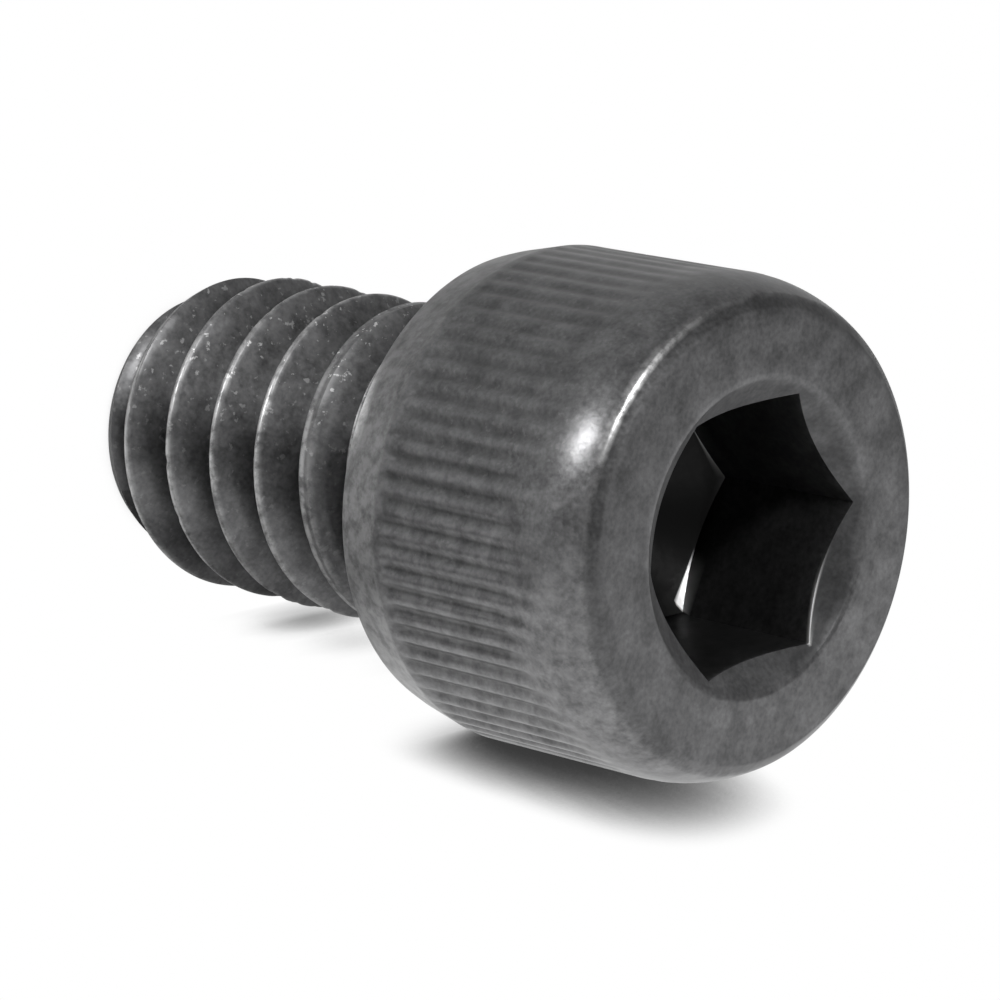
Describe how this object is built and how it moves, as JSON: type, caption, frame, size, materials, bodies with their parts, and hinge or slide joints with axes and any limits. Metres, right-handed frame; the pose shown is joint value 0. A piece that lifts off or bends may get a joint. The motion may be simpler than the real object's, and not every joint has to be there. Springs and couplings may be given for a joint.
{
  "type": "socket head cap screw",
  "caption": "Short machine screw with a knurled round head, a hexagonal socket in its face, and a coarse right-hand thread up to the head.",
  "frame": {"origin": "centre of the flat end of the threaded point, on which the screw stands", "axes": "+Z along the screw's axis from the point to the head, +X through a corner of the hexagonal socket"},
  "size_m": [0.0096, 0.0096, 0.0151],
  "materials": {
    "black_oxide_steel": "satin black oxide, worn bright on the thread crests"
  },
  "bodies": {
    "root": {"cap_screw": "black_oxide_steel"}
  },
  "joints": []
}
